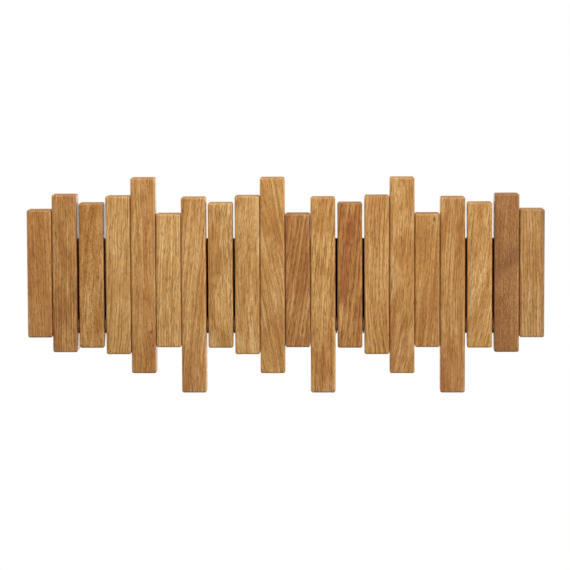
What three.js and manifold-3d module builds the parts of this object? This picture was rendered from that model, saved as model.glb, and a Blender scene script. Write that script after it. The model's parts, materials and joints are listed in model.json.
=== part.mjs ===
// Wall coat rack: twenty upright oak sticks in a row on a black backing board.
// Four of the sticks tip forward about a pin near their lower end and serve as hooks.
//
// Millimetres. The origin is the middle of the backing board's rear face, which lies on the wall.
// X runs along the row, -Y points into the room and +Z is up.

import * as THREE from 'three';
import { mergeVertices, toCreasedNormals } from 'three/addons/utils/BufferGeometryUtils.js';
import Module from 'manifold-3d';

const wasm = await Module();
wasm.setup();

// Section and spacing of the sticks
const stickWidth = 24;
const stickDepth = 20;
const edgeRadius = 1.5;
const jointGap = 0.3;
const hookSideGap = 1.9;

// Length of each kind of stick, and how far its middle lies above the middle of the backing
const endLength = 124;
const endLift = 13;
const outerLength = 153;
const outerLift = 13.2;
const hookLength = 140.5;
const mediumLength = 153.5;
const mediumLift = 11.4;
const tallLength = 189.5;
const tallLift = 10.9;
const shortLength = 129.5;
const shortLift = 6.2;
const lowLength = 189.5;
const lowLift = -8;

// Backing board
const backingHeight = 90;
const backingThickness = 10;
const backingInset = 4;
const backingCorner = 4;
const backingChamfer = 0.8;

// Hinge of a hook stick. The tail below the pin stops on the lower edge of the backing.
const openAngle = 35;
const pinAboveEnd = 21.5;
const pinAboveBackingEdge = 7.4;
const pinFromFront = 8.5;
const pinDiameter = 5;
const pinSeatDepth = 8;
const pinChamfer = 0.6;
const washerSetback = 0.5;

// Wood screws that hold the fixed sticks, in two staggered lines
const screwDiameter = 3.5;
const screwHead = 7;
const screwBite = 10;
const screwTip = 3;
const screwStagger = 22;

// Keyhole plates that hang the rack on two wall screws, and the pockets behind their keyholes
const entryDiameter = 9;
const slotWidth = 4.6;
const slotRise = 11;
const pocketMargin = 1.5;
const pocketDepth = 5;
const plateSide = 3;
const plateEnd = 4.5;
const plateThickness = 1.5;
const plateCorner = 3;
const plateLift = 10;
const plateScrewMargin = 6;
const plateScrewDiameter = 2.9;
const plateScrewHead = 5.4;
const plateScrewTip = 2;
const plateScrewCover = 2;

// Clearances
const runningGap = 0.3;
const seatGap = 0.3;
const overcut = 2;

// Fineness of round shapes
const edgeSteps = 3;
const pinSides = 24;
const washerSides = 24;
const screwSides = 12;
const cornerSteps = 2;
const holeSteps = 5;
const tailSteps = 3;
const creaseAngle = Math.PI / 5;
const mergeTolerance = 1e-5;

// The row repeats every five sticks, and ends with an outer and an end stick on each side
const kinds = {
  end: { length: endLength, lift: endLift },
  outer: { length: outerLength, lift: outerLift },
  medium: { length: mediumLength, lift: mediumLift },
  tall: { length: tallLength, lift: tallLift },
  short: { length: shortLength, lift: shortLift },
  low: { length: lowLength, lift: lowLift },
};
const repeat = ['hook', 'medium', 'tall', 'short', 'low'];
const row = ['end', 'outer', ...repeat, ...repeat, ...repeat, 'hook', 'outer', 'end'];

// Oak tones, told apart in the row
const oakTones = { honey: 0xb88851, pale: 0xbc8f58, red: 0xa87644, brown: 0x9d6d40 };
const toneOfStick = [
  'red', 'red', 'red', 'pale', 'honey', 'pale', 'pale', 'pale', 'pale', 'honey',
  'red', 'honey', 'red', 'honey', 'honey', 'honey', 'honey', 'pale', 'brown', 'pale',
];

const steel = new THREE.MeshStandardMaterial({ color: 0xb9bcc0, roughness: 0.35, metalness: 1 });
const zinc = new THREE.MeshStandardMaterial({ color: 0xc9c4b0, roughness: 0.4, metalness: 1 });
const black = new THREE.MeshStandardMaterial({ color: 0x131110, roughness: 0.6, metalness: 0 });
const fibre = new THREE.MeshStandardMaterial({ color: 0x6b4524, roughness: 0.7, metalness: 0 });

function oak(place) {
  const color = oakTones[toneOfStick[place]];
  return new THREE.MeshStandardMaterial({ color, roughness: 0.55, metalness: 0 });
}

// Where each stick stands along the row

function gapAfter(place) {
  const besideHook = row[place] === 'hook' || row[place + 1] === 'hook';
  return besideHook ? hookSideGap : jointGap;
}

function stickCentres() {
  const centres = [stickWidth / 2];
  for (let place = 0; place < row.length - 1; place += 1) {
    centres.push(centres[place] + stickWidth + gapAfter(place));
  }
  const middle = (centres[0] + centres[row.length - 1]) / 2;
  return centres.map((x) => x - middle);
}

function stickNumber(place) {
  return String(place + 1).padStart(2, '0');
}

const stickX = stickCentres();
const rowLength = stickX[row.length - 1] - stickX[0] + stickWidth;
const hookPlaces = row.map((kind, place) => place).filter((place) => row[place] === 'hook');
const fixedPlaces = row.map((kind, place) => place).filter((place) => row[place] !== 'hook');

// Sizes that follow from the driving ones
const pinFromBacking = stickDepth - pinFromFront;
const pinY = -backingThickness - pinFromBacking;
const pinZ = pinAboveBackingEdge - backingHeight / 2;
const pinLength = stickWidth + 2 * (hookSideGap + pinSeatDepth);
const hookBack = pinFromBacking - runningGap;
const hookDepth = stickDepth - runningGap;
const washerDiameter = 2 * (Math.min(pinFromFront, pinFromBacking) - washerSetback);
const washerThickness = hookSideGap - 2 * runningGap;
const screwLength = backingThickness + screwBite;
const plateX = [stickX[hookPlaces[0]], stickX[hookPlaces[hookPlaces.length - 1]]];
const entryZ = -slotRise / 2;
const pocketWidth = entryDiameter + 2 * pocketMargin;
const pocketHeight = pocketWidth + slotRise;
const plateWidth = pocketWidth + 2 * plateSide;
const plateScrewSpacing = pocketHeight + 2 * plateScrewMargin;
const plateHeight = plateScrewSpacing + 2 * plateEnd;
const plateScrewLength = backingThickness - plateScrewCover;
const recessDepth = plateThickness + seatGap;

// Solids from geometries, and back

function dropFlatTriangles(index) {
  const kept = [];
  for (let i = 0; i < index.length; i += 3) {
    const [a, b, c] = [index[i], index[i + 1], index[i + 2]];
    if (a !== b && b !== c && c !== a) {
      kept.push(a, b, c);
    }
  }
  return kept;
}

function solidOf(geometry) {
  const bare = geometry.clone();
  bare.deleteAttribute('normal');
  bare.deleteAttribute('uv');
  const merged = mergeVertices(bare, mergeTolerance);
  return new wasm.Manifold(new wasm.Mesh({
    numProp: 3,
    vertProperties: Float32Array.from(merged.attributes.position.array),
    triVerts: Uint32Array.from(dropFlatTriangles(merged.index.array)),
  }));
}

function geometryOf(solid) {
  const mesh = solid.getMesh();
  const geometry = new THREE.BufferGeometry();
  geometry.setAttribute('position', new THREE.BufferAttribute(mesh.vertProperties, 3));
  geometry.setIndex(new THREE.BufferAttribute(mesh.triVerts, 1));
  return toCreasedNormals(geometry, creaseAngle);
}

function cut(geometry, tools) {
  let solid = solidOf(geometry);
  for (const tool of tools) {
    solid = solid.subtract(solidOf(tool));
  }
  return geometryOf(solid);
}

// Bar with every edge and corner rounded. Its section is width by depth about the origin's
// Z axis, its rear face lies on y = 0 and its ends at plus and minus half the length.

function barRing(width, depth, radius, corner, z) {
  const points = [];
  const signs = [[1, 1], [-1, 1], [-1, -1], [1, -1]];
  signs.forEach(([sx, sy], quarter) => {
    for (let step = 0; step <= edgeSteps; step += 1) {
      const angle = (Math.PI / 2) * (quarter + step / edgeSteps);
      const x = sx * (width / 2 - radius) + corner * Math.cos(angle);
      const y = sy * (depth / 2 - radius) + corner * Math.sin(angle);
      points.push(x, y - depth / 2, z);
    }
  });
  return points;
}

function bar(width, depth, length, radius) {
  const lower = [];
  for (let step = 0; step <= edgeSteps; step += 1) {
    const angle = (Math.PI / 2) * (step / edgeSteps);
    const z = -length / 2 + radius * (1 - Math.cos(angle));
    lower.push({ corner: radius * Math.sin(angle), z });
  }
  const upper = lower.map(({ corner, z }) => ({ corner, z: -z })).reverse();
  const levels = [...lower, ...upper];
  const count = 4 * (edgeSteps + 1);
  const positions = levels.flatMap(({ corner, z }) => barRing(width, depth, radius, corner, z));
  const index = [];
  for (let level = 0; level < levels.length - 1; level += 1) {
    for (let i = 0; i < count; i += 1) {
      const a = level * count + i;
      const b = level * count + ((i + 1) % count);
      index.push(a, b, b + count, a, b + count, a + count);
    }
  }
  const side = edgeSteps + 1;
  const top = (levels.length - 1) * count;
  index.push(0, 2 * side, side, 0, 3 * side, 2 * side);
  index.push(top, top + side, top + 2 * side, top, top + 2 * side, top + 3 * side);
  const geometry = new THREE.BufferGeometry();
  geometry.setAttribute('position', new THREE.Float32BufferAttribute(positions, 3));
  geometry.setIndex(index);
  return geometry;
}

// Flat shapes in the XZ plane, from a rear plane forwards

function slab(shape, thickness, rear, steps) {
  const geometry = new THREE.ExtrudeGeometry(shape, {
    depth: thickness,
    bevelEnabled: false,
    curveSegments: steps,
  });
  geometry.rotateX(Math.PI / 2);
  geometry.translate(0, rear, 0);
  return geometry;
}

function roundedRectangle(width, height, radius) {
  const x = width / 2 - radius;
  const z = height / 2 - radius;
  const shape = new THREE.Shape();
  shape.absarc(x, z, radius, 0, Math.PI / 2);
  shape.absarc(-x, z, radius, Math.PI / 2, Math.PI);
  shape.absarc(-x, -z, radius, Math.PI, 1.5 * Math.PI);
  shape.absarc(x, -z, radius, 1.5 * Math.PI, 2 * Math.PI);
  shape.closePath();
  return shape;
}

// Round pieces. A profile is a list of [radius, place along the axis].

function revolved(profile, sides) {
  const points = profile.map(([radius, along]) => new THREE.Vector2(radius, along));
  return new THREE.LatheGeometry(points, sides);
}

function countersunkScrew(diameter, head, length, tip) {
  const headHeight = (head - diameter) / 2;
  return revolved([
    [0, -length],
    [diameter / 2, tip - length],
    [diameter / 2, -headHeight],
    [head / 2, 0],
    [0, 0],
  ], screwSides);
}

function countersunkHole(diameter, head, depth) {
  const headHeight = (head - diameter) / 2;
  return revolved([
    [0, -depth],
    [diameter / 2 + seatGap, -depth],
    [diameter / 2 + seatGap, -headHeight],
    [head / 2 + seatGap, 0],
    [head / 2 + seatGap, overcut],
    [0, overcut],
  ], screwSides);
}

function rodAlongX(diameter, length, chamfer) {
  const rod = revolved([
    [0, -length / 2],
    [diameter / 2 - chamfer, -length / 2],
    [diameter / 2, chamfer - length / 2],
    [diameter / 2, length / 2 - chamfer],
    [diameter / 2 - chamfer, length / 2],
    [0, length / 2],
  ], pinSides);
  return rod.rotateZ(Math.PI / 2);
}

function holeAlongX(diameter, length) {
  const hole = revolved([
    [0, -length / 2],
    [diameter / 2, -length / 2],
    [diameter / 2, length / 2],
    [0, length / 2],
  ], pinSides);
  return hole.rotateZ(Math.PI / 2);
}

// Fixed sticks, each with a pilot hole for its screw and a blind seat for each pin beside it

function screwZ(place) {
  return place % 2 === 0 ? screwStagger : -screwStagger;
}

function pilotHole(place) {
  const depth = screwLength - backingThickness + seatGap;
  const hole = revolved([
    [0, -depth],
    [screwDiameter / 2 + seatGap, -depth],
    [screwDiameter / 2 + seatGap, overcut],
    [0, overcut],
  ], screwSides);
  return hole.translate(0, 0, screwZ(place) - kinds[row[place]].lift);
}

function pinSeats(place) {
  const seats = [];
  const depth = pinSeatDepth + seatGap + overcut;
  for (const side of [-1, 1]) {
    if (row[place + side] === 'hook') {
      const seat = holeAlongX(pinDiameter + 2 * seatGap, depth);
      const x = side * (stickWidth / 2 + overcut - depth / 2);
      seats.push(seat.translate(x, -pinFromBacking, pinZ - kinds[row[place]].lift));
    }
  }
  return seats;
}

function fixedStick(place) {
  const { length, lift } = kinds[row[place]];
  const blank = bar(stickWidth, stickDepth, length, edgeRadius);
  const geometry = cut(blank, [pilotHole(place), ...pinSeats(place)]);
  const stick = new THREE.Mesh(geometry, oak(place));
  stick.name = `stick_${stickNumber(place)}`;
  stick.position.set(stickX[place], -backingThickness, lift);
  return stick;
}

// Hook stick about its pin axis. The tail is rounded about the pin, so it clears the backing
// while it turns, and ends in a flat that stands upright against the backing when open.

function tailWaste() {
  const open = THREE.MathUtils.degToRad(openAngle);
  const end = -pinAboveEnd - overcut;
  const startZ = -hookBack * Math.sin(open);
  const startY = hookBack * Math.cos(open);
  const run = startZ - end;
  const waste = new THREE.Shape();
  waste.moveTo(hookBack + overcut, 0);
  waste.lineTo(hookBack, 0);
  waste.absarc(0, 0, hookBack, 0, -open, true);
  waste.lineTo(startY - run * Math.tan(open), end);
  waste.lineTo(hookBack + overcut, end);
  waste.closePath();
  const width = stickWidth + 2 * overcut;
  const geometry = new THREE.ExtrudeGeometry(waste, {
    depth: width,
    bevelEnabled: false,
    curveSegments: tailSteps,
  });
  geometry.translate(0, 0, -width / 2);
  geometry.rotateY(Math.PI / 2);
  geometry.rotateX(Math.PI / 2);
  return geometry;
}

function hookStick(place) {
  const blank = bar(stickWidth, hookDepth, hookLength, edgeRadius);
  blank.translate(0, hookBack, hookLength / 2 - pinAboveEnd);
  const bore = holeAlongX(pinDiameter + 2 * runningGap, stickWidth + 2 * overcut);
  const hook = new THREE.Mesh(cut(blank, [tailWaste(), bore]), oak(place));
  hook.name = `hook_${stickNumber(place)}`;
  return hook;
}

function hingePin(place) {
  const pin = new THREE.Mesh(rodAlongX(pinDiameter, pinLength, pinChamfer), steel);
  pin.name = `hinge_pin_${stickNumber(place)}`;
  return pin;
}

function spacerWasher(place, side) {
  const hole = pinDiameter / 2 + runningGap;
  const half = washerThickness / 2;
  const ring = revolved([
    [hole, -half],
    [washerDiameter / 2, -half],
    [washerDiameter / 2, half],
    [hole, half],
    [hole, -half],
  ], washerSides);
  const washer = new THREE.Mesh(ring.rotateZ(Math.PI / 2), fibre);
  washer.name = `washer_${stickNumber(place)}_${side < 0 ? 'left' : 'right'}`;
  washer.position.x = (side * (stickWidth + hookSideGap)) / 2;
  return washer;
}

function hingedHook(place) {
  const hinge = new THREE.Group();
  hinge.position.set(stickX[place], pinY, pinZ);
  hinge.add(hookStick(place), hingePin(place), spacerWasher(place, -1), spacerWasher(place, 1));
  return hinge;
}

// Screws from behind, one in each fixed stick

function stickScrew(place) {
  const geometry = countersunkScrew(screwDiameter, screwHead, screwLength, screwTip);
  const screw = new THREE.Mesh(geometry, zinc);
  screw.name = `stick_screw_${stickNumber(place)}`;
  screw.position.set(stickX[place], 0, screwZ(place));
  return screw;
}

// Keyhole plates, let in flush with the rear of the backing

function keyhole() {
  const entry = entryDiameter / 2;
  const slot = slotWidth / 2;
  const meet = Math.asin(slot / entry);
  const outline = new THREE.Path();
  outline.moveTo(slot, entryZ + entry * Math.cos(meet));
  outline.lineTo(slot, entryZ + slotRise);
  outline.absarc(0, entryZ + slotRise, slot, 0, Math.PI);
  outline.lineTo(-slot, entryZ + entry * Math.cos(meet));
  outline.absarc(0, entryZ, entry, Math.PI / 2 + meet, 2.5 * Math.PI - meet);
  return outline;
}

function hangerPlate(x, side) {
  const shape = roundedRectangle(plateWidth, plateHeight, plateCorner);
  shape.holes.push(keyhole());
  const holes = [-1, 1].map((end) => {
    const hole = countersunkHole(plateScrewDiameter, plateScrewHead, plateThickness + overcut);
    return hole.translate(0, 0, (end * plateScrewSpacing) / 2);
  });
  const plate = new THREE.Mesh(cut(slab(shape, plateThickness, 0, holeSteps), holes), steel);
  plate.name = `hanger_plate_${side}`;
  plate.position.set(x, 0, plateLift);
  return plate;
}

function plateScrew(x, side, end) {
  const geometry = countersunkScrew(plateScrewDiameter, plateScrewHead, plateScrewLength, plateScrewTip);
  const screw = new THREE.Mesh(geometry, zinc);
  screw.name = `plate_screw_${side}_${end < 0 ? 'lower' : 'upper'}`;
  screw.position.set(x, 0, plateLift + (end * plateScrewSpacing) / 2);
  return screw;
}

// Backing board, with the countersinks of the stick screws and the seats of the hanger plates

function plateSeat(x) {
  const outline = roundedRectangle(plateWidth + 2 * seatGap, plateHeight + 2 * seatGap, plateCorner);
  const recess = slab(outline, recessDepth + overcut, overcut, cornerSteps);
  const pocketOutline = roundedRectangle(pocketWidth, pocketHeight, pocketWidth / 2);
  const pocket = slab(pocketOutline, recessDepth + pocketDepth, 0, cornerSteps);
  const pilots = [-1, 1].map((end) => {
    const pilot = revolved([
      [0, -plateScrewLength - seatGap],
      [plateScrewDiameter / 2 + seatGap, -plateScrewLength - seatGap],
      [plateScrewDiameter / 2 + seatGap, 0],
      [0, 0],
    ], screwSides);
    return pilot.translate(0, 0, (end * plateScrewSpacing) / 2);
  });
  return [recess, pocket, ...pilots].map((tool) => tool.translate(x, 0, plateLift));
}

function backingBlank() {
  const length = rowLength - 2 * backingInset;
  const outline = roundedRectangle(length, backingHeight, backingCorner);
  const blank = new THREE.ExtrudeGeometry(outline, {
    depth: backingThickness - 2 * backingChamfer,
    bevelThickness: backingChamfer,
    bevelSize: backingChamfer,
    bevelOffset: -backingChamfer,
    bevelSegments: 1,
    curveSegments: cornerSteps,
  });
  blank.rotateX(Math.PI / 2);
  return blank.translate(0, -backingChamfer, 0);
}

function backingBoard() {
  const screwHoles = fixedPlaces.map((place) => {
    const hole = countersunkHole(screwDiameter, screwHead, backingThickness + overcut);
    return hole.translate(stickX[place], 0, screwZ(place));
  });
  const seats = plateX.flatMap((x) => plateSeat(x));
  const board = new THREE.Mesh(cut(backingBlank(), [...screwHoles, ...seats]), black);
  board.name = 'backing_board';
  return board;
}

const rack = new THREE.Group();
rack.add(backingBoard());
rack.add(...fixedPlaces.map((place) => fixedStick(place)));
rack.add(...fixedPlaces.map((place) => stickScrew(place)));
rack.add(...hookPlaces.map((place) => hingedHook(place)));
['left', 'right'].forEach((side, i) => {
  rack.add(hangerPlate(plateX[i], side));
  rack.add(plateScrew(plateX[i], side, -1), plateScrew(plateX[i], side, 1));
});

export default rack;
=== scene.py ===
"""Looks of the wall coat rack: twenty oak sticks on a black board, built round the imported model.

Metres, in the model's own frame: X along the row, -Y into the room, +Z up.
"""

import json
import math
from collections import namedtuple

import bmesh
import bpy
from mathutils import Euler, Matrix, Vector

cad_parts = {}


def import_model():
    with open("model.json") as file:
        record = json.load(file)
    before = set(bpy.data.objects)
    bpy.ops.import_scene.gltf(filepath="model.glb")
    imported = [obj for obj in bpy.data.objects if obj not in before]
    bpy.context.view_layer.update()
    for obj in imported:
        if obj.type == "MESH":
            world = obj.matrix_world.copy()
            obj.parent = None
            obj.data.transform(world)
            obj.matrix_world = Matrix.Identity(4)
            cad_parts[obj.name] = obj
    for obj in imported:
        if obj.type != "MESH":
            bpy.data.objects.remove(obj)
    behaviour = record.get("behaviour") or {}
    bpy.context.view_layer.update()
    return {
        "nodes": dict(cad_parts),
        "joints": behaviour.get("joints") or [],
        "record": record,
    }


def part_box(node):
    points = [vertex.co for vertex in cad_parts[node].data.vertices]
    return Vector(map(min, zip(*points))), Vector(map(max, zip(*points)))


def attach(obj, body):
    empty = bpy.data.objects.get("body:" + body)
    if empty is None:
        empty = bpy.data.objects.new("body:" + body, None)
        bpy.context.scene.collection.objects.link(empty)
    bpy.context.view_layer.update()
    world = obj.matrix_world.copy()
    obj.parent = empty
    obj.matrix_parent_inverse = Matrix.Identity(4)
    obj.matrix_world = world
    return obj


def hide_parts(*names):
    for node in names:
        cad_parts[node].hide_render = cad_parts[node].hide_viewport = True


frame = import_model()

MM = 0.001
RECORD = frame["record"]
BODY_OF = {node: body for body, nodes in RECORD["behaviour"]["bodies"].items() for node in nodes}
SLOT_OF = {part["node"]: part["material_slot"] for part in RECORD["subparts"]}
JOINTS = {joint["child"]: joint for joint in frame["joints"]}

# Oak: rounding, and the sizes of the holes, which the nodes' boxes don't tell
EDGE_RADIUS = 2.1 * MM
EDGE_STEPS = 6
TAIL_STEPS = 14
SHANK_HOLE_RADIUS = 2.05 * MM
PIN_HOLE_RADIUS = 2.8 * MM
HOLE_CHAMFER = 0.35 * MM
HOLE_SIDES = 40

# Board: corners and rims, the pockets behind the keyholes and the pilot holes of the plates'
# screws, with depths from the rear face
BOARD_CORNER = 4 * MM
BOARD_ROUNDING = 0.8 * MM
POCKET_DEPTH = 6.8 * MM
POCKET_RADIUS = 6 * MM
POCKET_HEIGHT = 23 * MM
PILOT_DEPTH = 8.3 * MM
PILOT_RADIUS = 1.75 * MM

# Keyhole plates
PLATE_CORNER = 3 * MM
PLATE_ROUNDING = 0.25 * MM
ENTRY_RADIUS = 4.5 * MM
SLOT_RADIUS = 2.3 * MM
SLOT_RISE = 11 * MM
KEYHOLE_STEPS = 48

# Screws: radius of the shank and of the thread's root, pitch, length of the tapering tip, how far
# below the face the thread starts, and reach, half width and depth of the arms of the cross recess
STICK_SCREW = dict(
    shank=1.75 * MM, root=1.2 * MM, pitch=1.8 * MM, tip=3 * MM, plain=6 * MM,
    cross=2.3 * MM, arm=0.55 * MM, cross_depth=1.5 * MM,
)
PLATE_SCREW = dict(
    shank=1.45 * MM, root=0.95 * MM, pitch=1.3 * MM, tip=2 * MM, plain=1.5 * MM,
    cross=1.8 * MM, arm=0.42 * MM, cross_depth=1.1 * MM,
)

# All screws: rounding of the head's rim and how far down its edge ends, the share of the pitch
# that the thread's ridge takes, width of the cross recess at its floor as a share of that at the
# face, and how far the crosses turn with the place in the row, in radians per metre
HEAD_RIM = 0.2 * MM
HEAD_EDGE = 1.6 * HEAD_RIM
RIDGE_SHARE = 0.5
CROSS_FLOOR = 0.35
SCREW_TWIST = 40
SCREW_SIDES = 24
RINGS_PER_PITCH = 8

# Pins and washers. The end of a pin is a dome through points that lie this far in from its side
# and from its end.
PIN_ROUNDING = 0.6 * MM
PIN_DOME = [
    (PIN_ROUNDING, 0), (0.15 * PIN_ROUNDING, 0.85 * PIN_ROUNDING), (0, 1.6 * PIN_ROUNDING),
]
WASHER_HOLE_RADIUS = 2.8 * MM
WASHER_CHAMFER = 0.25 * MM
ROUND_SIDES = 64

# Clearances, and how far a cutter reaches out of what it cuts
SEAT_CLEARANCE = 0.3 * MM
OUT = 1 * MM


# Meshes


def skin(bm, rings):
    """Faces from each ring of vertices to the next. A ring of one vertex is a point."""
    for a, b in zip(rings, rings[1:]):
        for i in range(max(len(a), len(b))):
            quad = [a[i % len(a)], a[(i + 1) % len(a)], b[(i + 1) % len(b)], b[i % len(b)]]
            bm.faces.new(list(dict.fromkeys(quad)))


def turned(bm, radius, y, angle):
    """A vertex at an angle about Y."""
    return bm.verts.new((radius * math.cos(angle), y, radius * math.sin(angle)))


def lathe(profile, sides):
    """A closed solid of revolution about Y, from (radius, y) pairs that begin and end on it."""
    bm = bmesh.new()
    turns = [2 * math.pi * i / sides for i in range(sides)]
    rings = []
    for radius, y in profile:
        if radius == 0:
            rings.append([bm.verts.new((0, y, 0))])
        else:
            rings.append([turned(bm, radius, y, a) for a in turns])
    skin(bm, rings)
    bmesh.ops.recalc_face_normals(bm, faces=bm.faces)
    return bm


def ring(inner, outer, thickness, chamfer, sides):
    """A washer about Y with chamfered rims."""
    half = thickness / 2
    section = [
        (inner + chamfer, -half), (outer - chamfer, -half), (outer, chamfer - half),
        (outer, half - chamfer), (outer - chamfer, half), (inner + chamfer, half),
        (inner, half - chamfer), (inner, chamfer - half),
    ]
    bm = bmesh.new()
    turns = [2 * math.pi * i / sides for i in range(sides)]
    rings = [[turned(bm, radius, y, a) for radius, y in section] for a in turns]
    skin(bm, [*rings, rings[0]])
    bmesh.ops.recalc_face_normals(bm, faces=bm.faces)
    return bm


def loft(levels):
    """A closed solid through outlines of (x, z) points, each at its own y."""
    bm = bmesh.new()
    rings = [[bm.verts.new((x, y, z)) for x, z in outline] for outline, y in levels]
    skin(bm, rings)
    bm.faces.new(rings[0])
    bm.faces.new(rings[-1])
    bmesh.ops.recalc_face_normals(bm, faces=bm.faces)
    return bm


def rounded_outline(width, height, radius, steps=8):
    """The outline of a rectangle about the origin with round corners."""
    points = []
    corners = [(1, 1), (-1, 1), (-1, -1), (1, -1)]
    for quarter, (sx, sz) in enumerate(corners):
        for step in range(steps + 1):
            a = math.pi / 2 * (quarter + step / steps)
            x = sx * (width / 2 - radius) + radius * math.cos(a)
            z = sz * (height / 2 - radius) + radius * math.sin(a)
            points.append((x, z))
    return points


def rounded_slab(width, height, corner, y_rear, y_front, rounding, steps=4):
    """A flat plate whose rims are rounded at the rear and at the front."""
    levels = []
    turns = [math.pi / 2 * step / steps for step in range(steps + 1)]
    for a in turns:
        inset = rounding * (1 - math.sin(a))
        level = y_rear - rounding * (1 - math.cos(a))
        levels.append((inset, level))
    for a in reversed(turns):
        inset = rounding * (1 - math.sin(a))
        level = y_front + rounding * (1 - math.cos(a))
        levels.append((inset, level))
    return loft([
        (rounded_outline(width - 2 * inset, height - 2 * inset, corner - inset), level)
        for inset, level in levels
    ])


def round_edges(bm, radius, steps, sharper_than=math.radians(30)):
    """Rounds every edge at which the surface turns by more than the given angle."""
    sharp = [e for e in bm.edges if e.calc_face_angle(0) > sharper_than]
    bmesh.ops.bevel(bm, geom=sharp, offset=radius, segments=steps, profile=0.5, affect="EDGES")
    return bm


def block(low, high):
    """A plain box between two corners."""
    bm = bmesh.new()
    bmesh.ops.create_cube(bm, size=1)
    bmesh.ops.scale(bm, vec=high - low, verts=bm.verts)
    bmesh.ops.translate(bm, vec=(high + low) / 2, verts=bm.verts)
    return bm


def moved(bm, matrix):
    """The same bmesh, moved."""
    bm.transform(matrix)
    bm.normal_update()
    return bm


def object_from(bm, name):
    """An object of the scene with the bmesh as its mesh. The bmesh itself is freed."""
    mesh = bpy.data.meshes.new(name)
    bm.to_mesh(mesh)
    bm.free()
    made = bpy.data.objects.new(name, mesh)
    bpy.context.scene.collection.objects.link(made)
    return made


def carve(bm, tools):
    """The solid with each of the tools cut out of it, as a new bmesh."""
    target = object_from(bm, "carved")
    cutters = [object_from(tool, "cutter") for tool in tools]
    for cutter in cutters:
        modifier = target.modifiers.new("cut", "BOOLEAN")
        modifier.object = cutter
        modifier.solver = "EXACT"
    depsgraph = bpy.context.evaluated_depsgraph_get()
    result = bmesh.new()
    result.from_mesh(target.evaluated_get(depsgraph).to_mesh())
    for used in [target, *cutters]:
        mesh = used.data
        bpy.data.objects.remove(used)
        bpy.data.meshes.remove(mesh)
    return result


def dress(node, bm, name, material, smooth_below=35):
    """Shows the mesh in place of a CAD node, on the node's body and with its slot."""
    made = object_from(bm, name)
    mesh = made.data
    mesh.polygons.foreach_set("use_smooth", [True] * len(mesh.polygons))
    mesh.set_sharp_from_angle(angle=math.radians(smooth_below))
    weighted = made.modifiers.new("weighted_normals", "WEIGHTED_NORMAL")
    weighted.keep_sharp = True
    mesh.materials.append(material)
    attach(made, BODY_OF[node])
    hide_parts(node)


# Materials


class Graph:
    """Makes a material's nodes with short calls."""

    TO_A_NUMBER = ("LENGTH", "DISTANCE", "DOT_PRODUCT")

    def __init__(self, name):
        self.material = bpy.data.materials.new(name)
        self.material.use_nodes = True
        self.tree = self.material.node_tree
        self.shader = self.tree.nodes["Principled BSDF"]

    def node(self, kind, inputs=None, **settings):
        made = self.tree.nodes.new("ShaderNode" + kind)
        for key, value in settings.items():
            setattr(made, key, value)
        for key, value in (inputs or {}).items():
            self.feed(made.inputs[key], value)
        return made

    def feed(self, socket, value):
        """Links an output to the socket, or sets the socket's own value."""
        if isinstance(value, bpy.types.NodeSocket):
            self.tree.links.new(value, socket)
        else:
            socket.default_value = value

    def math(self, operation, *values, clamp=False):
        inputs = dict(enumerate(values))
        return self.node("Math", inputs, operation=operation, use_clamp=clamp).outputs[0]

    def vector(self, operation, *values):
        made = self.node("VectorMath", operation=operation)
        for socket, value in zip(made.inputs, values):
            self.feed(socket, value)
        return made.outputs["Value" if operation in self.TO_A_NUMBER else "Vector"]

    def scaled(self, vector, factor):
        return self.node("VectorMath", {0: vector, "Scale": factor}, operation="SCALE").outputs[0]

    def millimetres(self):
        """The place on the object in millimetres."""
        return self.scaled(self.node("TexCoord").outputs["Object"], 1 / MM)

    def noise(self, vector, seed, detail=2.0, roughness=0.5):
        inputs = {
            "Vector": vector, "W": seed, "Scale": 1.0, "Detail": detail, "Roughness": roughness,
        }
        return self.node("TexNoise", inputs, noise_dimensions="4D").outputs[0]

    def step(self, value, start, end):
        """0 before start, 1 past end and smooth between. Start may be more than end."""
        inputs = {"Value": value, "From Min": start, "From Max": end}
        return self.node("MapRange", inputs, interpolation_type="SMOOTHSTEP").outputs[0]

    def ramp(self, value, *stops):
        made = self.node("ValToRGB", {0: value})
        stop_list = made.color_ramp.elements
        while len(stop_list) < len(stops):
            stop_list.new(1.0)
        for element, (place, level) in zip(stop_list, stops):
            element.position = place
            element.color = (level, level, level, 1)
        return made.outputs[0]

    def spread(self, value, low, high):
        """What goes from low to high as the value goes from 0 to 1."""
        return self.math("MULTIPLY_ADD", value, high - low, low)

    def mix(self, factor, first, second, blend="MIX"):
        """A mix of two colours, through the sockets that the node has for colours."""
        made = self.node("Mix", data_type="RGBA", blend_type=blend)
        self.feed(made.inputs[0], factor)
        self.feed(made.inputs[6], first)
        self.feed(made.inputs[7], second)
        return made.outputs[2]

    def overlay(self, ground, other, mask, strength):
        """The ground with the other colour on it, where the mask says and as strong as given."""
        return self.mix(self.math("MULTIPLY", mask, strength), ground, other)

    def tinted(self, ground, tint):
        """The ground multiplied by a tint."""
        return self.mix(1.0, ground, tint, "MULTIPLY")

    def surface(self, name, value):
        """Gives a socket of the shader its value."""
        self.feed(self.shader.inputs[name], value)

    def bump(self, height, depth, strength):
        inputs = {"Height": height, "Distance": depth, "Strength": strength}
        self.surface("Normal", self.node("Bump", inputs).outputs[0])


def colour(red, green, blue):
    """A colour in the 0 to 255 steps of a screen, as the linear values that the nodes use."""
    def linear(level):
        share = level / 255
        return share / 12.92 if share <= 0.04045 else ((share + 0.055) / 1.055) ** 2.4
    return (linear(red), linear(green), linear(blue), 1)


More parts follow.
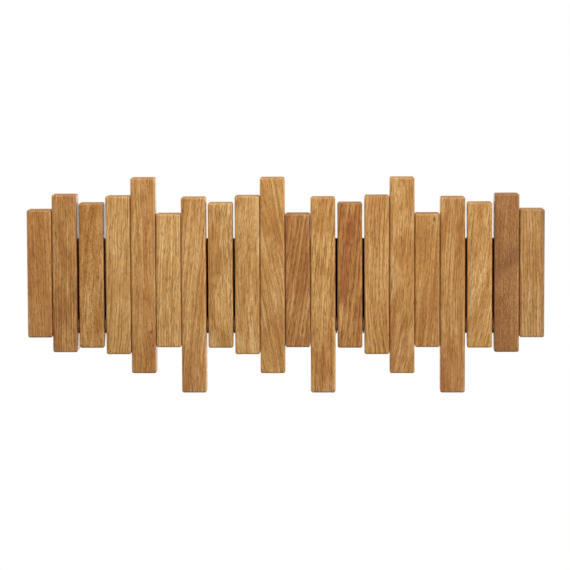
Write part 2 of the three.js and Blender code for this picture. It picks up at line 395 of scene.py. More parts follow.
# Each tone of oak: late wood, early wood and the pores in it
OAK_TONES = {
    "pale": (colour(212, 169, 106), colour(174, 126, 66), colour(104, 63, 26)),
    "honey": (colour(208, 161, 97), colour(168, 117, 57), colour(100, 59, 23)),
    "red": (colour(194, 143, 80), colour(154, 101, 46), colour(90, 51, 20)),
    "brown": (colour(180, 130, 74), colour(147, 99, 49), colour(90, 56, 26)),
}
# Rust red, for redder heartwood and stains, and for painted shade at the lower ends of some sticks
RUST_AND_LOW_SHADE = colour(160, 92, 44)
# Dark brown, for the band on stick 19 and for painted shade along the right edge of stick 20
BARK_AND_EDGE_SHADE = colour(112, 70, 36)
KNOT = colour(70, 38, 18)
SAPWOOD = colour(218, 172, 108)

# How each stick was sawn. side and back are millimetres from its middle to the heart of the tree.
# lean and pitch are how far the fibres drift to the right and backwards per millimetre upwards,
# and bend is how much the lean grows over BEND_LENGTH. ring is the width of a year, figure is how
# strongly the years show, rust is how much redder heartwood there is and mottle is how blotchy
# the stick is. fleck is the share of the fibres that are cut short, contrast is how far the
# fibres differ from each other. shade is how light the stick is and warmth is how yellow it is.
Cut = namedtuple(
    "Cut", "side back lean bend pitch ring figure rust mottle fleck contrast shade warmth"
)
BEND_LENGTH = 100
STICKS = {
    1: Cut(70, 30, -0.03, 0, 0.01, 1.7, 0.4, 0.25, 0.3, 0.4, 1.15, 0.97, 0.98),
    2: Cut(-60, 25, -0.01, 0, 0.02, 2.1, 0.9, 0.3, 1.0, 0.2, 1.25, 0.99, 0.92),
    3: Cut(20, 45, 0.05, 0.08, 0.05, 2.4, 0.4, 0.1, 1.0, 0.5, 1.6, 1.08, 0.88),
    4: Cut(75, 20, 0.05, -0.08, 0.01, 2.6, 0.5, 0.1, 0.4, 0.0, 0.8, 0.98, 0.96),
    5: Cut(8, 60, 0.0, 0, -0.03, 2.2, 0.3, 0.5, 0.4, 0.35, 1.3, 0.89, 1.0),
    6: Cut(-80, 10, 0.03, 0, 0.0, 2.6, 0.8, 0.0, 0.0, 0.1, 0.85, 1.04, 0.95),
    7: Cut(-50, 40, 0.08, 0, 0.02, 2.8, 0.6, 0.3, 0.4, 0.0, 0.9, 0.97, 1.0),
    8: Cut(-6, 55, -0.02, 0.12, 0.05, 2.8, 0.5, 0.15, 1.0, 0.15, 1.4, 0.93, 0.97),
    9: Cut(15, 60, -0.01, 0.16, -0.04, 3.0, 0.35, 0.2, 0.6, 0.3, 1.05, 0.96, 0.98),
    10: Cut(50, 45, -0.17, 0, 0.02, 2.4, 0.25, 0.2, 0.7, 0.4, 0.95, 0.97, 0.96),
    11: Cut(-60, 35, 0.13, 0, 0.03, 3.2, 1.0, 0.5, 0.8, 0.1, 1.6, 0.97, 0.96),
    12: Cut(-40, 50, 0.02, 0.1, 0.04, 3.2, 0.7, 0.1, 1.0, 0.1, 1.15, 1.06, 0.93),
    13: Cut(-30, 40, 0.05, 0, 0.03, 3.0, 1.0, 0.2, 1.0, 0.1, 1.5, 1.05, 0.95),
    14: Cut(45, 45, 0.01, 0.14, 0.02, 2.6, 0.7, 0.2, 0.1, 0.2, 1.15, 1.01, 0.97),
    15: Cut(30, 50, 0.07, -0.12, -0.04, 3.0, 0.4, 0.2, 1.0, 0.15, 1.15, 1.0, 0.94),
    16: Cut(60, 30, 0.1, 0, 0.0, 2.4, 0.35, 0.4, 0.7, 0.4, 1.1, 0.95, 1.0),
    17: Cut(-70, 20, 0.02, 0.08, 0.02, 2.2, 0.5, 0.5, 1.0, 0.15, 0.9, 0.91, 1.0),
    18: Cut(40, 50, 0.17, -0.12, 0.05, 2.2, 0.4, 0.1, 0.7, 0.4, 1.15, 1.0, 0.99),
    19: Cut(60, 60, 0.05, 0, 0.0, 1.6, 0.3, 0.2, 0.4, 0.6, 1.9, 0.86, 1.0),
    20: Cut(80, 10, -0.02, 0, 0.01, 2.8, 0.9, 0.2, 0.6, 0.25, 0.95, 0.875, 0.98),
}

# Redder, darker or paler places: the stick, millimetres to the right of and above its middle, how
# much the place rises per millimetre to the right, half its width and half its height, strength
# and colour. The places low on sticks 7, 10, 12, 15 and 17 are painted shade, with painted reddish
# reflected light, where the light falls off towards their lower ends. The two on stick 20 are
# painted shade along its right edge, the rounded edge that is turned away from the light.
Stain = namedtuple("Stain", "stick right up rise half_width half_height strength colour")
STAINS_AND_SHADE = [
    # Sticks 7, 10 and 12: painted shade and reddish reflected light at the lower end
    Stain(7, 0, -78, 0, 14, 34, 0.4, RUST_AND_LOW_SHADE),
    Stain(10, 0, -62, 0, 14, 34, 0.3, RUST_AND_LOW_SHADE),
    Stain(12, 0, -72, 0, 14, 36, 0.35, RUST_AND_LOW_SHADE),
    Stain(13, -1, 46, 0, 5.5, 16, 0.85, RUST_AND_LOW_SHADE),
    Stain(13, -4, 18, 0, 3, 30, 0.85, RUST_AND_LOW_SHADE),
    Stain(13, -5.5, -14, 0, 3, 24, 0.85, RUST_AND_LOW_SHADE),
    Stain(13, -7.5, -38, 0, 2.6, 18, 0.9, SAPWOOD),
    # Stick 15: painted shade and reddish reflected light at the lower end
    Stain(15, 2, -70, 0, 14, 34, 0.4, RUST_AND_LOW_SHADE),
    Stain(16, 0, -25, 0, 14, 30, 0.25, RUST_AND_LOW_SHADE),
    # Stick 17: painted shade and reddish reflected light at the lower end
    Stain(17, 0, -72, 0, 14, 30, 0.4, RUST_AND_LOW_SHADE),
    Stain(19, 0, 10, 0.9, 40, 10, 0.45, BARK_AND_EDGE_SHADE),
    # Stick 20: painted shade along its right edge, turned away from the light
    Stain(20, 12.3, 0, 0, 4.5, 110, 0.5, BARK_AND_EDGE_SHADE),
    Stain(20, 13.5, 40, 0, 2.5, 60, 0.9, BARK_AND_EDGE_SHADE),
]

# Small knots, by stick: millimetres to the right of and above its middle, half its width and half
# its height, and strength.
Knot = namedtuple("Knot", "right up half_width half_height strength")
KNOTS = {5: Knot(7.2, -54, 2.2, 1.2, 0.5), 16: Knot(6.4, 59, 0.7, 2.0, 0.85)}

# The noises that the grain is drawn with: how wide and long their features are, in millimetres
# across and along the fibres, what is added to the number of the stick to seed them, their detail
# and roughness, and the levels between which what they stand for goes from none to all
Grain = namedtuple("Grain", "width length seed detail roughness limits")
WANDER = Grain(18, 90, 10, 2, 0.5, None)
STREAK = Grain(1.3, 120, 20, 2, 0.6, (0.47, 0.6))
FIBRE = Grain(0.85, 70, 40, 2, 0.6, (0.38, 0.5))
BLOTCH = Grain(16, 40, 60, 2, 0.5, (0.42, 0.58))
VESSEL = Grain(0.8, 6, 80, 1, 0.5, (0.52, 0.6))
FINE_VESSEL = Grain(0.5, 3.5, 100, 1, 0.5, (0.54, 0.66))
HEARTWOOD = Grain(7, 110, 120, 1, 0.5, (0.48, 0.62))
BAND = Grain(5, 300, 160, 1, 0.5, (0.59, 0.41))
FLECK = Grain(0.7, 2.2, 180, 1, 0.5, (0.38, 0.6))

# The rays' noise, by its scale round the tree, outward and upward
RAY_SCALE = (2.2, 1 / 7, 1 / 5)
RAY_SEED = 140
RAY_LIMITS = (0.6, 0.72)

# How far the fibres sway and the years wander, in millimetres, and how much early wood there is
# at each part of a year
SWAY = 4.0
SWAY_SCALE = (1 / 25, 1 / 25, 1 / 55)
YEAR_WANDER = 6.0
EARLY_WOOD = [(0, 0.9), (0.08, 1), (0.42, 0.35), (0.75, 0.05), (0.93, 0.1), (1, 0.9)]

# How strongly each of these shows at most
EARLY_SHARE = 0.9
STREAK_SHARE = 0.6
RUST_SHARE = 0.6
RAY_SHARE = 0.35
PORE_SHARE = 0.75
FINE_PORE_SHARE = 0.5
END_GRAIN_SHARE = 0.8

# The least share of pores, outside the early wood, and of mottle. What a fibre is without any
# contrast, from dark to light.
LEAST_PORES = 0.4
LEAST_MOTTLE = 0.4
EVEN_FIBRE = 0.6

# What the wood's colour is multiplied by
BAND_TINT = (0.86, 0.77, 0.62, 1)
BLOTCH_TINT = (0.81, 0.7, 0.52, 1)
LIGHT_TINT = (1.1, 1.15, 1.28, 1)
DARK_TINT = (0.69, 0.53, 0.3, 1)

# The ragged edges of stains, of patches of painted shade and of knots: how far a noise moves the
# edge, and where the place ends and where it is full, all in halves of its width. Fibres are
# squeezed aside within a knot's reach, which is twice as long upwards.
PATCH_RAGGED = 2.0
PATCH_LIMITS = (2.3, 1.4)
KNOT_RAGGED = 1.5
KNOT_LIMITS = (2.2, 1.2)
KNOT_REACH = 4.5
KNOT_REACH_SHAPE = (1, 0, 0.5)
KNOT_SQUEEZE = 0.8

# The surface: how far up or down a face looks where it becomes end grain and where it is flat,
# its roughness with what fibres, pores and flat ends add, and the shares of the relief
END_GRAIN_LIMITS = (0.75, 0.98)
FLAT_END_LIMITS = (0.88, 1.0)
OAK_SPECULAR = 0.4
OAK_ROUGHNESS = 0.29
FIBRE_ROUGHNESS = 0.12
PORE_ROUGHNESS = 0.25
FLAT_END_ROUGHNESS = 0.25
PORE_DEPTH = 0.7
FINE_PORE_DEPTH = 0.3
FIBRE_HEIGHT = 0.35
OAK_RELIEF = 0.12 * MM
OAK_BUMP = 0.6


def ellipse_distance(g, offset, half_width, half_height):
    """How far out a place is in a flat ellipse seen from the front: 1 on its rim."""
    shape = g.vector("MULTIPLY", offset, (1 / half_width, 0, 1 / half_height))
    return g.vector("LENGTH", shape)


def with_stains_and_shade(g, wood, number, along, blotch):
    """The wood with the stains and the painted shade of one stick."""
    for patch in STAINS_AND_SHADE:
        if patch.stick != number:
            continue
        offset = g.vector("SUBTRACT", along, (patch.right, 0, patch.up))
        right = g.node("SeparateXYZ", {"Vector": offset}).outputs["X"]
        risen = g.node("CombineXYZ", {"Z": g.math("MULTIPLY", right, patch.rise)}).outputs[0]
        level = g.vector("SUBTRACT", offset, risen)
        distance = ellipse_distance(g, level, patch.half_width, patch.half_height)
        ragged = g.math("MULTIPLY_ADD", blotch, PATCH_RAGGED, distance)
        wood = g.overlay(wood, patch.colour, g.step(ragged, *PATCH_LIMITS), patch.strength)
    return wood


def oak(number, tone, centre):
    """Oak cut from its own place in the tree: the grain runs through it and out at its ends."""
    cut = STICKS[number]
    late, early, pore = OAK_TONES[tone]
    g = Graph(f"oak_{number:02d}")

    # The fibres
    place = g.node("TexCoord").outputs["Object"]
    millimetres = g.node("Mapping", {
        "Vector": place,
        "Location": [-c / MM for c in centre],
        "Scale": (1 / MM, 1 / MM, 1 / MM),
    }).outputs[0]
    height = g.node("SeparateXYZ", {"Vector": millimetres}).outputs["Z"]
    bent = g.math("MULTIPLY_ADD", height, cut.bend / (2 * BEND_LENGTH), cut.lean)
    drift = g.node("CombineXYZ", {
        "X": g.math("MULTIPLY", g.math("MULTIPLY", bent, height), -1.0),
        "Y": g.math("MULTIPLY", height, cut.pitch),
    }).outputs[0]
    sway = g.noise(g.vector("MULTIPLY", millimetres, SWAY_SCALE), seed=number, detail=2)
    sway = g.math("SUBTRACT", sway, 0.5)
    along = g.vector("ADD", millimetres, drift)
    along = g.vector("ADD", along, g.scaled((SWAY, SWAY, 0), sway))
    knot = KNOTS.get(number)
    if knot:
        from_knot = g.vector("SUBTRACT", millimetres, (knot.right, 0, knot.up))
        reach = g.vector("LENGTH", g.vector("MULTIPLY", from_knot, KNOT_REACH_SHAPE))
        near = g.step(reach, KNOT_REACH * knot.half_width, 0)
        squeezed = g.scaled(g.vector("MULTIPLY", from_knot, (-KNOT_SQUEEZE, 0, 0)), near)
        along = g.vector("ADD", along, squeezed)

    def drawn(grain):
        """Noise drawn out along the fibres."""
        scale = (1 / grain.width, 1 / grain.width, 1 / grain.length)
        stretched = g.vector("MULTIPLY", along, scale)
        return g.noise(stretched, number + grain.seed, grain.detail, grain.roughness)

    def shown(noise, grain):
        return g.step(noise, *grain.limits)

    streak = drawn(STREAK)
    fibre = drawn(FIBRE)
    fleck = drawn(FLECK)
    blotch = drawn(BLOTCH)
    band = drawn(BAND)
    vessel = drawn(VESSEL)
    fine_vessel = drawn(FINE_VESSEL)
    heartwood = drawn(HEARTWOOD)

    # Years, rays and pores
    across = g.vector("MULTIPLY", along, (1, 1, 0))
    from_heart = g.vector("DISTANCE", across, (cut.side, cut.back, 0))
    radius = g.math("MULTIPLY_ADD", drawn(WANDER), YEAR_WANDER, from_heart)
    spring = g.ramp(g.math("FRACT", g.math("DIVIDE", radius, cut.ring)), *EARLY_WOOD)
    outward = -Vector((cut.side, cut.back, 0)).normalized()
    around = Vector((-outward.y, outward.x, 0))
    ray_place = g.node("CombineXYZ", {
        "X": g.math("MULTIPLY", g.vector("DOT_PRODUCT", along, around), RAY_SCALE[0]),
        "Y": g.math("MULTIPLY", g.vector("DOT_PRODUCT", along, outward), RAY_SCALE[1]),
        "Z": g.math("MULTIPLY", height, RAY_SCALE[2]),
    }).outputs[0]
    ray = g.step(g.noise(ray_place, seed=number + RAY_SEED, detail=1), *RAY_LIMITS)
    porous = g.math("MULTIPLY_ADD", spring, (1 - LEAST_PORES) * cut.figure, LEAST_PORES)
    open_pore = g.math("MULTIPLY", shown(vessel, VESSEL), porous)
    fine_pore = g.math("MULTIPLY", shown(fine_vessel, FINE_VESSEL), porous)

    # Colour
    tint = (cut.shade, cut.shade / cut.warmth, cut.shade / cut.warmth ** 2, 1)
    late = [a * b for a, b in zip(late, tint)]
    early = [a * b for a, b in zip(early, tint)]
    wood = g.overlay(late, early, spring, EARLY_SHARE * cut.figure)
    wood = g.mix(shown(band, BAND), wood, g.tinted(wood, BAND_TINT))
    wood = with_stains_and_shade(g, wood, number, along, blotch)
    wood = g.overlay(wood, early, shown(streak, STREAK), STREAK_SHARE)
    wood = g.overlay(wood, RUST_AND_LOW_SHADE, shown(heartwood, HEARTWOOD), RUST_SHARE * cut.rust)
    lighter = g.tinted(wood, LIGHT_TINT)
    darker = g.tinted(wood, DARK_TINT)
    marks = g.math("MULTIPLY", shown(fibre, FIBRE), cut.contrast * (1 - cut.fleck))
    marks = g.math("MULTIPLY_ADD", shown(fleck, FLECK), cut.contrast * cut.fleck, marks)
    marks = g.math("ADD", marks, EVEN_FIBRE * (1 - cut.contrast), clamp=True)
    wood = g.mix(marks, darker, lighter)
    mottle = LEAST_MOTTLE + (1 - LEAST_MOTTLE) * cut.mottle
    wood = g.overlay(wood, g.tinted(wood, BLOTCH_TINT), shown(blotch, BLOTCH), mottle)
    wood = g.overlay(wood, lighter, ray, RAY_SHARE)
    wood = g.overlay(wood, pore, open_pore, PORE_SHARE)
    wood = g.overlay(wood, pore, fine_pore, FINE_PORE_SHARE)
    if knot:
        distance = ellipse_distance(g, from_knot, knot.half_width, knot.half_height)
        ragged = g.math("MULTIPLY_ADD", fibre, KNOT_RAGGED, distance)
        wood = g.overlay(wood, KNOT, g.step(ragged, *KNOT_LIMITS), knot.strength)
    normal = g.node("TexCoord").outputs["Normal"]
    upright = g.math("ABSOLUTE", g.node("SeparateXYZ", {"Vector": normal}).outputs["Z"])
    wood = g.overlay(wood, early, g.step(upright, *END_GRAIN_LIMITS), END_GRAIN_SHARE)
    g.surface("Base Color", wood)

    # Gloss and relief
    fine_depth = g.math("MULTIPLY", fine_pore, FINE_PORE_DEPTH)
    depth = g.math("MULTIPLY_ADD", open_pore, PORE_DEPTH, fine_depth)
    rough = g.math("MULTIPLY_ADD", fibre, FIBRE_ROUGHNESS, OAK_ROUGHNESS)
    rough = g.math("MULTIPLY_ADD", depth, PORE_ROUGHNESS, rough)
    flat_end = g.step(upright, *FLAT_END_LIMITS)
    rough = g.math("MULTIPLY_ADD", flat_end, FLAT_END_ROUGHNESS, rough)
    g.surface("Roughness", rough)
    g.surface("Specular IOR Level", OAK_SPECULAR)
    relief = g.math("SUBTRACT", g.math("MULTIPLY", fibre, FIBRE_HEIGHT), depth)
    g.bump(relief, OAK_RELIEF, OAK_BUMP)
    return g.material


def black_paint():
    """Black satin paint, rolled on, over board."""
    g = Graph("black_paint")
    place = g.millimetres()
    stipple = g.noise(g.scaled(place, 1.1), seed=3, detail=3, roughness=0.6)
    cloud = g.noise(g.scaled(place, 1 / 35), seed=5, detail=3)
    g.surface("Base Color", g.mix(cloud, colour(14, 11, 10), colour(22, 19, 17)))
    g.surface("Specular IOR Level", 0.2)
    g.surface("Roughness", g.spread(cloud, 0.65, 0.8))
    g.bump(stipple, depth=0.08 * MM, strength=0.5)
    return g.material


def bright_metal(name, base, tint, streaks, roughness):
    """Steel or plating: fine streaks along one direction, over a slow change of tint."""
    g = Graph(name)
    place = g.millimetres()
    grain = g.noise(g.vector("MULTIPLY", place, streaks), seed=7, detail=3, roughness=0.6)
    cloud = g.noise(g.scaled(place, 1 / 6), seed=9, detail=3)
    g.surface("Base Color", g.mix(cloud, base, tint))
    g.surface("Metallic", 1.0)
    g.surface("Roughness", g.spread(grain, roughness, roughness + 0.2))
    g.bump(grain, depth=0.02 * MM, strength=0.4)
    return g.material


def brown_fibre():
    """Pressed brown fibre with darker and lighter flecks."""
    g = Graph("brown_fibre")
    fleck = g.noise(g.scaled(g.millimetres(), 2.2), seed=11, detail=3, roughness=0.65)
    brown = g.mix(g.step(fleck, 0.35, 0.7), colour(84, 47, 17), colour(120, 73, 32))
    g.surface("Base Color", brown)
    g.surface("Roughness", g.spread(fleck, 0.62, 0.77))
    g.bump(fleck, depth=0.06 * MM, strength=0.5)
    return g.material


# Pieces


HOOKS = sorted(node for node in frame["nodes"] if node.startswith("hook_"))
STICK_SCREWS = sorted(node for node in frame["nodes"] if node.startswith("stick_screw_"))
FIXED = [node.replace("stick_screw", "stick") for node in STICK_SCREWS]
PINS = sorted(node for node in frame["nodes"] if node.startswith("hinge_pin_"))
WASHERS = sorted(node for node in frame["nodes"] if node.startswith("washer_"))
PLATES = sorted(node for node in frame["nodes"] if node.startswith("hanger_plate_"))
PLATE_SCREWS = sorted(node for node in frame["nodes"] if node.startswith("plate_screw_"))

ALONG_X = Matrix.Rotation(-math.pi / 2, 4, "Z")


def number_of(node):
    """The place in the row that a node's name ends in."""
    return int(node.split("_")[-1])


def middle(node):
    low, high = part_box(node)
    return (low + high) / 2


def tone_of(node):
    return SLOT_OF[node].replace("oak_", "")


def hinge_axis(hook):
    """A point on the axis about which a hook turns."""
    return Vector(JOINTS[BODY_OF[hook]]["pos_m"])


def sideways_to(node):
    """The move from the origin to a node's middle, in X and Z only."""
    centre = middle(node)
    return Matrix.Translation((centre.x, 0, centre.z))


def drill(screw, radius, front, rear):
    """A cutter for the straight hole of a screw between two depths."""
    tool = lathe([(0, front), (radius, front), (radius, rear), (0, rear)], HOLE_SIDES)
    return moved(tool, sideways_to(screw))


def bore(axis, start, end, radius, open_start, open_end):
    """A cutter along X about a hinge axis. Where an end is open, its rim has a chamfer."""
    flare = HOLE_CHAMFER + OUT
    head = [(0, start - OUT), (radius + flare, start - OUT), (radius, start + HOLE_CHAMFER)]
    tail = [(radius, end - HOLE_CHAMFER), (radius + flare, end + OUT), (0, end + OUT)]
    if not open_start:
        head = [(0, start), (radius, start)]
    if not open_end:
        tail = [(radius, end), (0, end)]
    onto_axis = Matrix.Translation((0, axis.y, axis.z)) @ ALONG_X
    return moved(lathe(head + tail, HOLE_SIDES), onto_axis)


def pin_seat(low, high, hook):
    """The blind hole in a fixed stick that holds one end of a hook's pin."""
    pin_low, pin_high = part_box(hook.replace("hook", "hinge_pin"))
    axis = hinge_axis(hook)
    if axis.x > high.x:
        return bore(axis, pin_low.x - SEAT_CLEARANCE, high.x, PIN_HOLE_RADIUS, False, True)
    return bore(axis, low.x, pin_high.x + SEAT_CLEARANCE, PIN_HOLE_RADIUS, True, False)


def fixed_stick(node):
    """A fixed stick with the hole of its screw and the seats of the pins beside it."""
    low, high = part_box(node)
    blank = round_edges(block(low, high), EDGE_RADIUS, EDGE_STEPS)
    screw = node.replace("stick", "stick_screw")
    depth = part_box(screw)[0].y - SEAT_CLEARANCE
    tools = [drill(screw, SHANK_HOLE_RADIUS, depth, high.y + OUT)]
    for hook in HOOKS:
        if abs(number_of(hook) - number_of(node)) == 1:
            tools.append(pin_seat(low, high, hook))
    name = f"oak_{number_of(node):02d}"
    dress(node, carve(blank, tools), name, oak(number_of(node), tone_of(node), middle(node)))


def hook_stick(node):
    """A hook stick, whose tail is rounded about the pin and ends in the flat that stops it."""
    low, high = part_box(node)
    axis = hinge_axis(node)
    opening = math.radians(JOINTS[BODY_OF[node]]["range_deg"][1])
    back = high.y - axis.y
    turns = [opening * (1 - step / TAIL_STEPS) for step in range(TAIL_STEPS + 1)]
    arc = [(axis.y + back * math.cos(a), axis.z - back * math.sin(a)) for a in turns]
    drop = arc[0][1] - low.z
    flat_end = (arc[0][0] - drop * math.tan(opening), low.z)
    side = [(low.y, high.z), (low.y, low.z), flat_end, *arc, (high.y, high.z)]
    blank = loft([([(-y, z) for y, z in side], x) for x in (low.x, high.x)])
    blank = round_edges(moved(blank, ALONG_X), EDGE_RADIUS, EDGE_STEPS)
    hole = bore(axis, low.x, high.x, PIN_HOLE_RADIUS, True, True)
    name = f"oak_hook_{number_of(node):02d}"
    dress(node, carve(blank, [hole]), name, oak(number_of(node), tone_of(node), middle(node)))


def countersink(screw, size, depth):
    """A cutter for the hole and the countersink of a screw whose head lies in the rear face."""
    low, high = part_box(screw)
    rim = (high.x - low.x) / 2 + SEAT_CLEARANCE
    shank = size["shank"] + SEAT_CLEARANCE
    tool = lathe([
        (0, high.y - depth), (shank, high.y - depth), (shank, high.y - (rim - shank)),
        (rim + OUT, high.y + OUT), (0, high.y + OUT),
    ], HOLE_SIDES)
    return moved(tool, sideways_to(screw))


def backing_board(material):
    """The board, with its screws' countersinks and recesses and pockets for the plates."""
    node = "backing_board"
    low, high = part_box(node)
    size = high - low
    bm = rounded_slab(size.x, size.z, BOARD_CORNER, high.y, low.y, BOARD_ROUNDING)
    moved(bm, sideways_to(node))
    tools = [countersink(screw, STICK_SCREW, size.y + OUT) for screw in STICK_SCREWS]
    for plate in PLATES:
        plate_low, plate_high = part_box(plate)
        plate_size = plate_high - plate_low
        spare = 2 * SEAT_CLEARANCE
        bottom = plate_low.y - SEAT_CLEARANCE
        recess = rounded_outline(plate_size.x + spare, plate_size.z + spare, PLATE_CORNER)
        pocket = rounded_outline(2 * POCKET_RADIUS, POCKET_HEIGHT, POCKET_RADIUS, steps=12)
        for outline, front, rear in [
            (recess, bottom, high.y + OUT),
            (pocket, -POCKET_DEPTH, bottom + OUT),
        ]:
            tools.append(moved(loft([(outline, front), (outline, rear)]), sideways_to(plate)))
    for screw in PLATE_SCREWS:
        tools.append(drill(screw, PILOT_RADIUS, -PILOT_DEPTH, -OUT))
    dress(node, carve(bm, tools), "black_board", material)


def keyhole_outline(extra):
    """A round entry below and a narrow slot above it, both wider by some extra on every side."""
    entry = ENTRY_RADIUS + extra
    slot = SLOT_RADIUS + extra
    entry_z, slot_z = -SLOT_RISE / 2, SLOT_RISE / 2
    meet = math.asin(slot / entry)
    sweep = 2 * math.pi - 2 * meet
    shares = [step / KEYHOLE_STEPS for step in range(KEYHOLE_STEPS + 1)]
    slot_turns = [math.pi * share for share in shares]
    entry_turns = [math.pi / 2 + meet + sweep * share for share in shares]
    points = [(slot * math.cos(a), slot_z + slot * math.sin(a)) for a in slot_turns]
    points += [(entry * math.cos(a), entry_z + entry * math.sin(a)) for a in entry_turns]
    return points


def hanger_plate(node, material):
    """A rounded plate with its keyhole and the countersinks of its screws."""
    low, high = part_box(node)
    size = high - low
    bm = rounded_slab(size.x, size.z, PLATE_CORNER, high.y, low.y, PLATE_ROUNDING)
    moved(bm, sideways_to(node))
    keyhole = loft([
        (keyhole_outline(0), low.y - OUT),
        (keyhole_outline(0), high.y - PLATE_ROUNDING),
        (keyhole_outline(PLATE_ROUNDING + OUT), high.y + OUT),
    ])
    tools = [moved(keyhole, sideways_to(node))]
    side = node.split("_")[-1]
    for screw in PLATE_SCREWS:
        if side in screw:
            tools.append(countersink(screw, PLATE_SCREW, size.y + OUT))
    dress(node, carve(bm, tools), f"keyhole_plate_{side}", material)


def thread_radius(size, turn, y, start, end):
    """How far the thread stands out at an angle and depth: a ridge that winds round the root."""
    phase = (-y / size["pitch"] + turn) % 1.0
    ridge = max(0.0, 1 - abs(phase - 0.5) * 2 / RIDGE_SHARE)
    fade_in = min(1.0, max(0.0, (start - y) / size["pitch"]))
    taper = min(1.0, max(0.0, (y - end) / size["tip"]))
    root = size["root"] + (size["shank"] - size["root"]) * (1 - fade_in)
    return (root + (size["shank"] - root) * ridge) * taper


def wood_screw(node, size, name, material):
    """A countersunk wood screw from its head at the rear to its tip at the front."""
    low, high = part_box(node)
    head, shank = (high.x - low.x) / 2, size["shank"]
    top, tip = high.y, low.y
    start = top - size["plain"]
    profile = [
        (head - HEAD_RIM, top), (head, top - HEAD_RIM), (head, top - HEAD_EDGE),
        (shank, top - (head - shank) - HEAD_RIM), (shank, start),
    ]
    turns = [step / SCREW_SIDES for step in range(SCREW_SIDES)]
    count = round((start - tip) / size["pitch"] * RINGS_PER_PITCH)
    bm = bmesh.new()
    rings = [[turned(bm, radius, y, 2 * math.pi * t) for t in turns] for radius, y in profile]
    for step in range(1, count):
        y = start + (tip - start) * step / count
        rings.append([
            turned(bm, thread_radius(size, t, y, start, tip), y, 2 * math.pi * t) for t in turns
        ])
    skin(bm, rings)
    bm.faces.new(rings[0])
    skin(bm, [rings[-1], [bm.verts.new((0, tip, 0))]])
    bmesh.ops.recalc_face_normals(bm, faces=bm.faces)

    reach, arm, depth = size["cross"], size["arm"], size["cross_depth"]
    plus = [
        (arm, arm), (arm, reach), (-arm, reach), (-arm, arm), (-reach, arm), (-reach, -arm),
        (-arm, -arm), (-arm, -reach), (arm, -reach), (arm, -arm), (reach, -arm), (reach, arm),
    ]
    mouth = 1 + (1 - CROSS_FLOOR) * OUT / depth
    recess = loft([
        ([(x * CROSS_FLOOR, z * CROSS_FLOOR) for x, z in plus], top - depth),
        ([(x * mouth, z * mouth) for x, z in plus], top + OUT),
    ])
    turn = Matrix.Rotation(middle(node).x * SCREW_TWIST, 4, "Y")
    made = moved(carve(bm, [recess]), sideways_to(node) @ turn)
    dress(node, made, name, material)


def hinge_pin(node, material):
    """A round pin with domed ends."""
    low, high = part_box(node)
    radius = (high.z - low.z) / 2
    half = (high.x - low.x) / 2
    start = [(radius - inset, reach - half) for inset, reach in PIN_DOME]
    end = [(radius - inset, half - reach) for inset, reach in reversed(PIN_DOME)]
    bm = lathe([(0, -half), *start, *end, (0, half)], ROUND_SIDES)
    moved(bm, Matrix.Translation(middle(node)) @ ALONG_X)
    dress(node, bm, node.replace("hinge_pin", "steel_pin"), material)


def spacer_washer(node, material):
    """A thick washer on a hinge pin, beside its hook."""
    low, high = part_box(node)
    radius = (high.z - low.z) / 2
    bm = ring(WASHER_HOLE_RADIUS, radius, high.x - low.x, WASHER_CHAMFER, ROUND_SIDES)
    moved(bm, Matrix.Translation(middle(node)) @ ALONG_X)
    dress(node, bm, node.replace("washer", "fibre_washer"), material)


for node in FIXED:
    fixed_stick(node)
for node in HOOKS:
    hook_stick(node)

paint = black_paint()
steel = bright_metal("steel", colour(166, 167, 169), colour(146, 148, 151), (3, 3, 0.3), 0.3)
zinc = bright_metal("zinc", colour(186, 176, 146), colour(166, 160, 142), (0.8, 0.8, 0.8), 0.32)
washer_fibre = brown_fibre()

backing_board(paint)
for node in PLATES:
    hanger_plate(node, steel)
for node in STICK_SCREWS:
    wood_screw(node, STICK_SCREW, node.replace("stick_screw", "long_screw"), zinc)
for node in PLATE_SCREWS:
    wood_screw(node, PLATE_SCREW, node.replace("plate_screw", "short_screw"), zinc)
for node in PINS:
    hinge_pin(node, steel)
for node in WASHERS:
    spacer_washer(node, washer_fibre)


# Camera, light and floor

CAMERA_PLACE = (0.053, -2.130, 0.228)
CAMERA_YAW = math.radians(-1.442)
CAMERA_PITCH = math.radians(-4.351)
CAMERA_ROLL = math.radians(-0.23)
CAMERA_LENS = 138.51
CAMERA_SENSOR = 36
CAMERA_RISE = -0.12
CAMERA_REACH = 50

# Soft rectangular lamps that look at the middle of the rack: place, width and height, watts
Lamp = namedtuple("Lamp", "name place size power")
LAMPS = [
    Lamp("key", (1.9, -1.9, 0.4), (0.25, 2.2), 28),
    Lamp("side", (3.0, -0.4, 1.2), (1.2, 1.2), 64),
    Lamp("strip", (-0.1, -0.4, 0.46), (1.8, 0.2), 5.9),
    Lamp("fill", (-2.6, 0.15, 0.2), (1.5, 1.5), 22),
    Lamp("rear", (-0.3, 1.8, -0.5), (3.0, 1.6), 19),
]

WHITE = (1, 1, 1, 1)
BACKGROUND_SHOWN = 1.0
BACKGROUND_LIGHT = 0.16

# The floor, and between which shares of its radius it fades into the background
FLOOR_MIDDLE = (0, -0.2, -1.2)
FLOOR_RADIUS = 1.6
FLOOR_SIDES = 96
FLOOR_FADE = (0.2, 0.95)
FLOOR_COLOUR = colour(236, 236, 234)
FLOOR_ROUGHNESS = 0.8


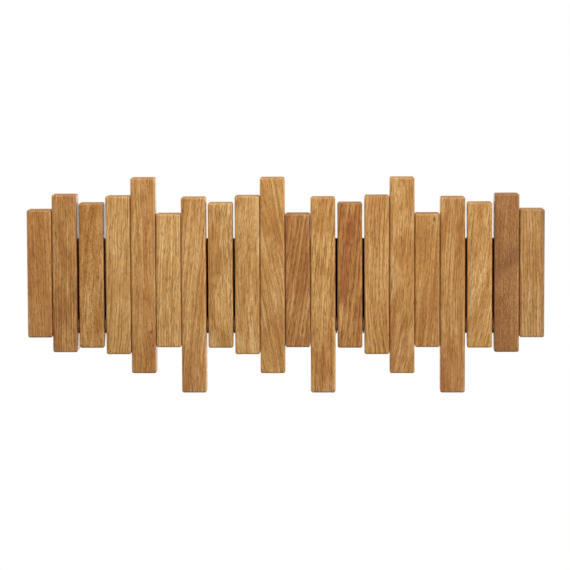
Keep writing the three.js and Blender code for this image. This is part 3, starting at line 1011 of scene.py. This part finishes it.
def camera():
    """The camera at the photo's angle."""
    data = bpy.data.cameras.new("camera")
    data.lens = CAMERA_LENS
    data.sensor_width = CAMERA_SENSOR
    data.shift_y = CAMERA_RISE
    data.clip_end = CAMERA_REACH
    made = bpy.data.objects.new("camera", data)
    turn = Euler((math.pi / 2 + CAMERA_PITCH, 0, -CAMERA_YAW)).to_matrix().to_4x4()
    roll = Matrix.Rotation(CAMERA_ROLL, 4, "Z")
    made.matrix_world = Matrix.Translation(CAMERA_PLACE) @ turn @ roll
    bpy.context.scene.collection.objects.link(made)
    bpy.context.scene.camera = made


def softbox(lamp):
    data = bpy.data.lights.new(lamp.name, "AREA")
    data.shape = "RECTANGLE"
    data.size, data.size_y = lamp.size
    data.energy = lamp.power
    made = bpy.data.objects.new(lamp.name, data)
    aim = (-Vector(lamp.place)).to_track_quat("-Z", "Y").to_matrix().to_4x4()
    made.matrix_world = Matrix.Translation(lamp.place) @ aim
    bpy.context.scene.collection.objects.link(made)


def looks_at_background(tree):
    """1 for the camera's rays and for reflected or refracted ones, 0 for all others."""
    path = tree.nodes.new("ShaderNodeLightPath")
    found = path.outputs["Is Camera Ray"]
    for kind in ("Is Glossy Ray", "Is Transmission Ray"):
        either = tree.nodes.new("ShaderNodeMath")
        either.operation = "MAXIMUM"
        tree.links.new(found, either.inputs[0])
        tree.links.new(path.outputs[kind], either.inputs[1])
        found = either.outputs[0]
    return found


def world():
    """A white background for what looks at it, and a softer one for what it lights."""
    made = bpy.data.worlds.new("studio")
    made.use_nodes = True
    nodes, links = made.node_tree.nodes, made.node_tree.links
    shown = nodes["Background"]
    lighting = nodes.new("ShaderNodeBackground")
    for background, strength in [(shown, BACKGROUND_SHOWN), (lighting, BACKGROUND_LIGHT)]:
        background.inputs["Color"].default_value = WHITE
        background.inputs["Strength"].default_value = strength
    choice = nodes.new("ShaderNodeMixShader")
    links.new(looks_at_background(made.node_tree), choice.inputs[0])
    links.new(lighting.outputs[0], choice.inputs[1])
    links.new(shown.outputs[0], choice.inputs[2])
    links.new(choice.outputs[0], nodes["World Output"].inputs["Surface"])
    bpy.context.scene.world = made


def floor():
    """A pale round floor well below the rack, which fades into the background towards its rim."""
    bm = bmesh.new()
    bmesh.ops.create_circle(bm, cap_ends=True, radius=FLOOR_RADIUS, segments=FLOOR_SIDES)
    bmesh.ops.translate(bm, verts=bm.verts, vec=FLOOR_MIDDLE)
    made = object_from(bm, "floor")
    g = Graph("floor")
    g.surface("Base Color", FLOOR_COLOUR)
    g.surface("Roughness", FLOOR_ROUGHNESS)
    from_middle = g.vector("DISTANCE", g.node("TexCoord").outputs["Object"], FLOOR_MIDDLE)
    start, end = [share * FLOOR_RADIUS for share in FLOOR_FADE]
    faded = g.math("MULTIPLY", g.step(from_middle, start, end), looks_at_background(g.tree))
    white = g.node("Emission", {"Color": WHITE, "Strength": BACKGROUND_SHOWN}).outputs[0]
    choice = g.node("MixShader", {0: faded, 1: g.shader.outputs[0], 2: white})
    g.tree.links.new(choice.outputs[0], g.tree.nodes["Material Output"].inputs["Surface"])
    made.data.materials.append(g.material)


camera()
for lamp in LAMPS:
    softbox(lamp)
world()
floor()
bpy.context.scene.view_settings.view_transform = "Standard"
